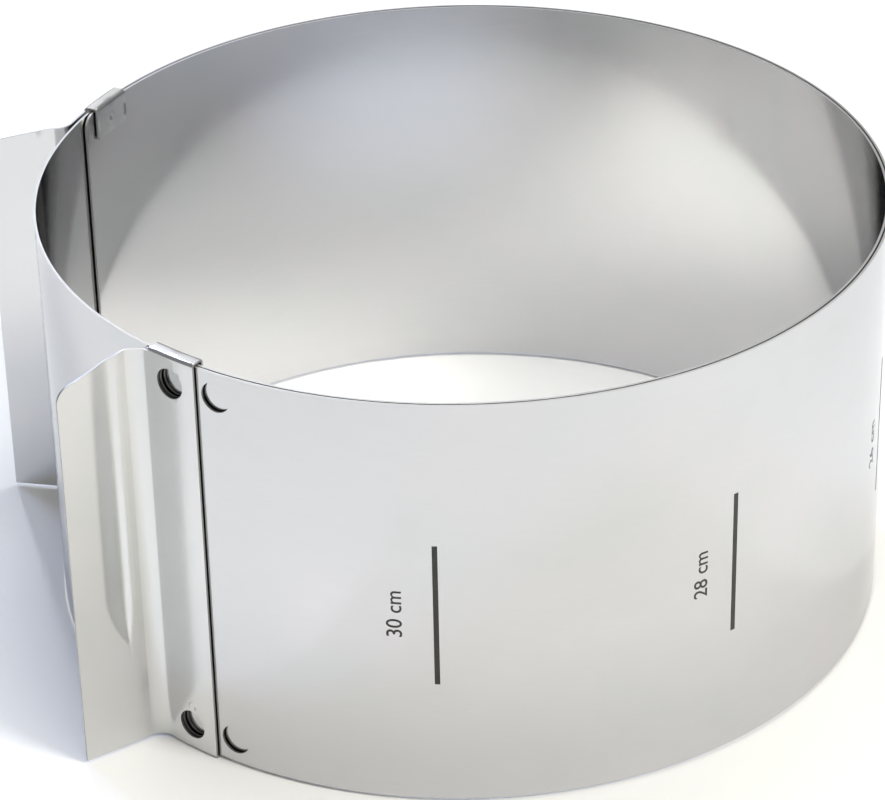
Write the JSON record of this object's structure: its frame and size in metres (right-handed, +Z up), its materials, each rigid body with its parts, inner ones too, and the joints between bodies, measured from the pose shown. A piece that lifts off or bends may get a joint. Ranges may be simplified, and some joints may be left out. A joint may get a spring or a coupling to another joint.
{
  "type": "adjustable cake ring",
  "caption": "Adjustable cake ring: a coiled steel strip that opens to a wider circle, with a flap handle of bent sheet at either end whose tabs clip over both rims and slide along the strip.",
  "frame": {"origin": "on the ring's axis at its smallest size, in the plane of the tray that the handles' tabs rest on", "axes": "+Z up along the ring's axis; the picture looks along +Y, so -Y is the front; both handles are on the -X side"},
  "size_m": [0.1935, 0.1794, 0.0936],
  "materials": {
    "strip": "polished stainless sheet",
    "handle": "satin stainless sheet"
  },
  "bodies": {
    "outer_end": {"strip_arc_01": "strip", "outer_end_handle": "handle"},
    "arc_02": {"strip_arc_02": "strip"},
    "arc_03": {"strip_arc_03": "strip"},
    "arc_04": {"strip_arc_04": "strip"},
    "arc_05": {"strip_arc_05": "strip"},
    "arc_06": {"strip_arc_06": "strip"},
    "arc_07": {"strip_arc_07": "strip"},
    "arc_08": {"strip_arc_08": "strip"},
    "arc_09": {"strip_arc_09": "strip"},
    "arc_10": {"strip_arc_10": "strip"},
    "arc_11": {"strip_arc_11": "strip"},
    "arc_12": {"strip_arc_12": "strip"},
    "arc_13": {"strip_arc_13": "strip"},
    "arc_14": {"strip_arc_14": "strip"},
    "arc_15": {"strip_arc_15": "strip"},
    "arc_16": {"strip_arc_16": "strip"},
    "arc_17": {"strip_arc_17": "strip"},
    "arc_18": {"strip_arc_18": "strip"},
    "arc_19": {"strip_arc_19": "strip"},
    "arc_20": {"strip_arc_20": "strip"},
    "arc_21": {"strip_arc_21": "strip"},
    "arc_22": {"strip_arc_22": "strip"},
    "arc_23": {"strip_arc_23": "strip"},
    "arc_24": {"strip_arc_24": "strip"},
    "arc_25": {"strip_arc_25": "strip"},
    "arc_26": {"strip_arc_26": "strip"},
    "arc_27": {"strip_arc_27": "strip"},
    "arc_28": {"strip_arc_28": "strip"},
    "arc_29": {"strip_arc_29": "strip"},
    "arc_30": {"strip_arc_30": "strip"},
    "arc_31": {"strip_arc_31": "strip"},
    "arc_32": {"strip_arc_32": "strip"},
    "arc_33": {"strip_arc_33": "strip"},
    "arc_34": {"strip_arc_34": "strip"},
    "arc_35": {"strip_arc_35": "strip"},
    "arc_36": {"strip_arc_36": "strip"},
    "arc_37": {"strip_arc_37": "strip"},
    "arc_38": {"strip_arc_38": "strip"},
    "arc_39": {"strip_arc_39": "strip"},
    "arc_40": {"strip_arc_40": "strip"},
    "arc_41": {"strip_arc_41": "strip"},
    "arc_42": {"strip_arc_42": "strip"},
    "arc_43": {"strip_arc_43": "strip"},
    "arc_44": {"strip_arc_44": "strip"},
    "arc_45": {"strip_arc_45": "strip"},
    "arc_46": {"strip_arc_46": "strip"},
    "arc_47": {"strip_arc_47": "strip"},
    "arc_48": {"strip_arc_48": "strip"},
    "arc_49": {"strip_arc_49": "strip"},
    "arc_50": {"strip_arc_50": "strip"},
    "arc_51": {"strip_arc_51": "strip"},
    "inner_end": {"strip_arc_52": "strip", "inner_end_handle": "handle"}
  },
  "joints": [
    {"name": "ring_opening", "type": "hinge", "parent": "arc_26", "child": "arc_27", "pos_m": [-0.0868, -0.01944, 0.0468], "axis": [0, 0, -1], "range_deg": [0, 5]},
    {"name": "strip_bend_27", "type": "hinge", "parent": "arc_27", "child": "arc_28", "pos_m": [-0.08056, -0.03771, 0.0468], "axis": [0, 0, -1], "range_deg": [-0.01, 5.01]},
    {"name": "strip_bend_28", "type": "hinge", "parent": "arc_28", "child": "arc_29", "pos_m": [-0.07053, -0.0542, 0.0468], "axis": [0, 0, -1], "range_deg": [-0.01, 5.02]},
    {"name": "strip_bend_29", "type": "hinge", "parent": "arc_29", "child": "arc_30", "pos_m": [-0.05718, -0.06814, 0.0468], "axis": [0, 0, -1], "range_deg": [-0.01, 5.02]},
    {"name": "strip_bend_30", "type": "hinge", "parent": "arc_30", "child": "arc_31", "pos_m": [-0.04113, -0.07887, 0.0468], "axis": [0, 0, -1], "range_deg": [-0.01, 5.02]},
    {"name": "strip_bend_31", "type": "hinge", "parent": "arc_31", "child": "arc_32", "pos_m": [-0.02315, -0.08588, 0.0468], "axis": [0, 0, -1], "range_deg": [-0.01, 5.02]},
    {"name": "strip_bend_32", "type": "hinge", "parent": "arc_32", "child": "arc_33", "pos_m": [-0.00408, -0.08885, 0.0468], "axis": [0, 0, -1], "range_deg": [-0.01, 5.03]},
    {"name": "strip_bend_33", "type": "hinge", "parent": "arc_33", "child": "arc_34", "pos_m": [0.01519, -0.08763, 0.0468], "axis": [0, 0, -1], "range_deg": [-0.01, 5.03]},
    {"name": "strip_bend_34", "type": "hinge", "parent": "arc_34", "child": "arc_35", "pos_m": [0.03373, -0.08227, 0.0468], "axis": [0, 0, -1], "range_deg": [-0.01, 5.03]},
    {"name": "strip_bend_35", "type": "hinge", "parent": "arc_35", "child": "arc_36", "pos_m": [0.05068, -0.07304, 0.0468], "axis": [0, 0, -1], "range_deg": [-0.01, 5.04]},
    {"name": "strip_bend_36", "type": "hinge", "parent": "arc_36", "child": "arc_37", "pos_m": [0.06524, -0.06035, 0.0468], "axis": [0, 0, -1], "range_deg": [-0.01, 5.04]},
    {"name": "strip_bend_37", "type": "hinge", "parent": "arc_37", "child": "arc_38", "pos_m": [0.0767, -0.04483, 0.0468], "axis": [0, 0, -1], "range_deg": [-0.01, 5.04]},
    {"name": "strip_bend_38", "type": "hinge", "parent": "arc_38", "child": "arc_39", "pos_m": [0.08454, -0.02719, 0.0468], "axis": [0, 0, -1], "range_deg": [-0.01, 5.05]},
    {"name": "strip_bend_39", "type": "hinge", "parent": "arc_39", "child": "arc_40", "pos_m": [0.08837, -0.00827, 0.0468], "axis": [0, 0, -1], "range_deg": [-0.01, 5.05]},
    {"name": "strip_bend_40", "type": "hinge", "parent": "arc_40", "child": "arc_41", "pos_m": [0.08803, 0.01103, 0.0468], "axis": [0, 0, -1], "range_deg": [-0.01, 5.05]},
    {"name": "strip_bend_41", "type": "hinge", "parent": "arc_41", "child": "arc_42", "pos_m": [0.08351, 0.02979, 0.0468], "axis": [0, 0, -1], "range_deg": [-0.01, 5.05]},
    {"name": "strip_bend_42", "type": "hinge", "parent": "arc_42", "child": "arc_43", "pos_m": [0.07503, 0.04714, 0.0468], "axis": [0, 0, -1], "range_deg": [-0.01, 5.06]},
    {"name": "strip_bend_43", "type": "hinge", "parent": "arc_43", "child": "arc_44", "pos_m": [0.063, 0.06223, 0.0468], "axis": [0, 0, -1], "range_deg": [-0.01, 5.06]},
    {"name": "strip_bend_44", "type": "hinge", "parent": "arc_44", "child": "arc_45", "pos_m": [0.04798, 0.07436, 0.0468], "axis": [0, 0, -1], "range_deg": [-0.01, 5.06]},
    {"name": "strip_bend_45", "type": "hinge", "parent": "arc_45", "child": "arc_46", "pos_m": [0.0307, 0.08295, 0.0468], "axis": [0, 0, -1], "range_deg": [-0.01, 5.07]},
    {"name": "strip_bend_46", "type": "hinge", "parent": "arc_46", "child": "arc_47", "pos_m": [0.01196, 0.08758, 0.0468], "axis": [0, 0, -1], "range_deg": [-0.01, 5.07]},
    {"name": "strip_bend_47", "type": "hinge", "parent": "arc_47", "child": "arc_48", "pos_m": [-0.00734, 0.08804, 0.0468], "axis": [0, 0, -1], "range_deg": [-0.01, 5.07]},
    {"name": "strip_bend_48", "type": "hinge", "parent": "arc_48", "child": "arc_49", "pos_m": [-0.02628, 0.0843, 0.0468], "axis": [0, 0, -1], "range_deg": [-0.01, 5.08]},
    {"name": "strip_bend_49", "type": "hinge", "parent": "arc_49", "child": "arc_50", "pos_m": [-0.04395, 0.07654, 0.0468], "axis": [0, 0, -1], "range_deg": [-0.01, 5.08]},
    {"name": "strip_bend_50", "type": "hinge", "parent": "arc_50", "child": "arc_51", "pos_m": [-0.05952, 0.06513, 0.0468], "axis": [0, 0, -1], "range_deg": [-0.01, 5.08]},
    {"name": "strip_bend_51", "type": "hinge", "parent": "arc_51", "child": "inner_end", "pos_m": [-0.07224, 0.05061, 0.0468], "axis": [0, 0, -1], "range_deg": [-0.01, 5.08]},
    {"name": "strip_bend_25", "type": "hinge", "parent": "arc_26", "child": "arc_25", "pos_m": [-0.08896, -0.00026, 0.0468], "axis": [0, 0, 1], "range_deg": [-0.01, 5.01]},
    {"name": "strip_bend_24", "type": "hinge", "parent": "arc_25", "child": "arc_24", "pos_m": [-0.08693, 0.01894, 0.0468], "axis": [0, 0, 1], "range_deg": [-0.01, 5]},
    {"name": "strip_bend_23", "type": "hinge", "parent": "arc_24", "child": "arc_23", "pos_m": [-0.08082, 0.03724, 0.0468], "axis": [0, 0, 1], "range_deg": [-0.01, 5]},
    {"name": "strip_bend_22", "type": "hinge", "parent": "arc_23", "child": "arc_22", "pos_m": [-0.0709, 0.05381, 0.0468], "axis": [0, 0, 1], "range_deg": [-0.01, 5]},
    {"name": "strip_bend_21", "type": "hinge", "parent": "arc_22", "child": "arc_21", "pos_m": [-0.05766, 0.06785, 0.0468], "axis": [0, 0, 1], "range_deg": [-0.01, 4.99]},
    {"name": "strip_bend_20", "type": "hinge", "parent": "arc_21", "child": "arc_20", "pos_m": [-0.0417, 0.07871, 0.0468], "axis": [0, 0, 1], "range_deg": [-0.01, 4.99]},
    {"name": "strip_bend_19", "type": "hinge", "parent": "arc_20", "child": "arc_19", "pos_m": [-0.02377, 0.08588, 0.0468], "axis": [0, 0, 1], "range_deg": [-0.01, 4.99]},
    {"name": "strip_bend_18", "type": "hinge", "parent": "arc_19", "child": "arc_18", "pos_m": [-0.00473, 0.08902, 0.0468], "axis": [0, 0, 1], "range_deg": [-0.01, 4.99]},
    {"name": "strip_bend_17", "type": "hinge", "parent": "arc_18", "child": "arc_17", "pos_m": [0.01455, 0.088, 0.0468], "axis": [0, 0, 1], "range_deg": [-0.01, 4.98]},
    {"name": "strip_bend_16", "type": "hinge", "parent": "arc_17", "child": "arc_16", "pos_m": [0.03315, 0.08286, 0.0468], "axis": [0, 0, 1], "range_deg": [-0.01, 4.98]},
    {"name": "strip_bend_15", "type": "hinge", "parent": "arc_16", "child": "arc_15", "pos_m": [0.05022, 0.07385, 0.0468], "axis": [0, 0, 1], "range_deg": [-0.01, 4.98]},
    {"name": "strip_bend_14", "type": "hinge", "parent": "arc_15", "child": "arc_14", "pos_m": [0.06495, 0.06137, 0.0468], "axis": [0, 0, 1], "range_deg": [-0.01, 4.97]},
    {"name": "strip_bend_13", "type": "hinge", "parent": "arc_14", "child": "arc_13", "pos_m": [0.07666, 0.04603, 0.0468], "axis": [0, 0, 1], "range_deg": [-0.01, 4.97]},
    {"name": "strip_bend_12", "type": "hinge", "parent": "arc_13", "child": "arc_12", "pos_m": [0.0848, 0.02852, 0.0468], "axis": [0, 0, 1], "range_deg": [-0.01, 4.97]},
    {"name": "strip_bend_11", "type": "hinge", "parent": "arc_12", "child": "arc_11", "pos_m": [0.08899, 0.00968, 0.0468], "axis": [0, 0, 1], "range_deg": [-0.01, 4.97]},
    {"name": "strip_bend_10", "type": "hinge", "parent": "arc_11", "child": "arc_10", "pos_m": [0.08905, -0.00962, 0.0468], "axis": [0, 0, 1], "range_deg": [-0.01, 4.96]},
    {"name": "strip_bend_09", "type": "hinge", "parent": "arc_10", "child": "arc_09", "pos_m": [0.08496, -0.02849, 0.0468], "axis": [0, 0, 1], "range_deg": [-0.01, 4.96]},
    {"name": "strip_bend_08", "type": "hinge", "parent": "arc_09", "child": "arc_08", "pos_m": [0.07692, -0.04604, 0.0468], "axis": [0, 0, 1], "range_deg": [-0.01, 4.96]},
    {"name": "strip_bend_07", "type": "hinge", "parent": "arc_08", "child": "arc_07", "pos_m": [0.0653, -0.06146, 0.0468], "axis": [0, 0, 1], "range_deg": [-0.01, 4.95]},
    {"name": "strip_bend_06", "type": "hinge", "parent": "arc_07", "child": "arc_06", "pos_m": [0.05066, -0.07403, 0.0468], "axis": [0, 0, 1], "range_deg": [-0.01, 4.95]},
    {"name": "strip_bend_05", "type": "hinge", "parent": "arc_06", "child": "arc_05", "pos_m": [0.03365, -0.08317, 0.0468], "axis": [0, 0, 1], "range_deg": [-0.01, 4.95]},
    {"name": "strip_bend_04", "type": "hinge", "parent": "arc_05", "child": "arc_04", "pos_m": [0.01509, -0.08845, 0.0468], "axis": [0, 0, 1], "range_deg": [-0.01, 4.95]},
    {"name": "strip_bend_03", "type": "hinge", "parent": "arc_04", "child": "arc_03", "pos_m": [-0.00418, -0.08964, 0.0468], "axis": [0, 0, 1], "range_deg": [-0.01, 4.94]},
    {"name": "strip_bend_02", "type": "hinge", "parent": "arc_03", "child": "arc_02", "pos_m": [-0.02325, -0.08668, 0.0468], "axis": [0, 0, 1], "range_deg": [-0.01, 4.94]},
    {"name": "strip_bend_01", "type": "hinge", "parent": "arc_02", "child": "outer_end", "pos_m": [-0.04125, -0.07971, 0.0468], "axis": [0, 0, 1], "range_deg": [-0.01, 5.92]}
  ],
  "couplings": [
    {"joint": "strip_bend_27", "follows": "ring_opening", "ratio": 1.0006},
    {"joint": "strip_bend_28", "follows": "ring_opening", "ratio": 1.0012},
    {"joint": "strip_bend_29", "follows": "ring_opening", "ratio": 1.0018},
    {"joint": "strip_bend_30", "follows": "ring_opening", "ratio": 1.0024},
    {"joint": "strip_bend_31", "follows": "ring_opening", "ratio": 1.0029},
    {"joint": "strip_bend_32", "follows": "ring_opening", "ratio": 1.0035},
    {"joint": "strip_bend_33", "follows": "ring_opening", "ratio": 1.0041},
    {"joint": "strip_bend_34", "follows": "ring_opening", "ratio": 1.0047},
    {"joint": "strip_bend_35", "follows": "ring_opening", "ratio": 1.0053},
    {"joint": "strip_bend_36", "follows": "ring_opening", "ratio": 1.0059},
    {"joint": "strip_bend_37", "follows": "ring_opening", "ratio": 1.0065},
    {"joint": "strip_bend_38", "follows": "ring_opening", "ratio": 1.0071},
    {"joint": "strip_bend_39", "follows": "ring_opening", "ratio": 1.0077},
    {"joint": "strip_bend_40", "follows": "ring_opening", "ratio": 1.0083},
    {"joint": "strip_bend_41", "follows": "ring_opening", "ratio": 1.0089},
    {"joint": "strip_bend_42", "follows": "ring_opening", "ratio": 1.0095},
    {"joint": "strip_bend_43", "follows": "ring_opening", "ratio": 1.0101},
    {"joint": "strip_bend_44", "follows": "ring_opening", "ratio": 1.0107},
    {"joint": "strip_bend_45", "follows": "ring_opening", "ratio": 1.0113},
    {"joint": "strip_bend_46", "follows": "ring_opening", "ratio": 1.0119},
    {"joint": "strip_bend_47", "follows": "ring_opening", "ratio": 1.0125},
    {"joint": "strip_bend_48", "follows": "ring_opening", "ratio": 1.0131},
    {"joint": "strip_bend_49", "follows": "ring_opening", "ratio": 1.0137},
    {"joint": "strip_bend_50", "follows": "ring_opening", "ratio": 1.0143},
    {"joint": "strip_bend_51", "follows": "ring_opening", "ratio": 1.0149},
    {"joint": "strip_bend_25", "follows": "ring_opening", "ratio": 0.99941},
    {"joint": "strip_bend_24", "follows": "ring_opening", "ratio": 0.99882},
    {"joint": "strip_bend_23", "follows": "ring_opening", "ratio": 0.99824},
    {"joint": "strip_bend_22", "follows": "ring_opening", "ratio": 0.99765},
    {"joint": "strip_bend_21", "follows": "ring_opening", "ratio": 0.99707},
    {"joint": "strip_bend_20", "follows": "ring_opening", "ratio": 0.99648},
    {"joint": "strip_bend_19", "follows": "ring_opening", "ratio": 0.9959},
    {"joint": "strip_bend_18", "follows": "ring_opening", "ratio": 0.99531},
    {"joint": "strip_bend_17", "follows": "ring_opening", "ratio": 0.99473},
    {"joint": "strip_bend_16", "follows": "ring_opening", "ratio": 0.99415},
    {"joint": "strip_bend_15", "follows": "ring_opening", "ratio": 0.99357},
    {"joint": "strip_bend_14", "follows": "ring_opening", "ratio": 0.99299},
    {"joint": "strip_bend_13", "follows": "ring_opening", "ratio": 0.99241},
    {"joint": "strip_bend_12", "follows": "ring_opening", "ratio": 0.99183},
    {"joint": "strip_bend_11", "follows": "ring_opening", "ratio": 0.99125},
    {"joint": "strip_bend_10", "follows": "ring_opening", "ratio": 0.99067},
    {"joint": "strip_bend_09", "follows": "ring_opening", "ratio": 0.99009},
    {"joint": "strip_bend_08", "follows": "ring_opening", "ratio": 0.98952},
    {"joint": "strip_bend_07", "follows": "ring_opening", "ratio": 0.98894},
    {"joint": "strip_bend_06", "follows": "ring_opening", "ratio": 0.98837},
    {"joint": "strip_bend_05", "follows": "ring_opening", "ratio": 0.98779},
    {"joint": "strip_bend_04", "follows": "ring_opening", "ratio": 0.98722},
    {"joint": "strip_bend_03", "follows": "ring_opening", "ratio": 0.98664},
    {"joint": "strip_bend_02", "follows": "ring_opening", "ratio": 0.98607},
    {"joint": "strip_bend_01", "follows": "ring_opening", "ratio": 1.1817}
  ]
}
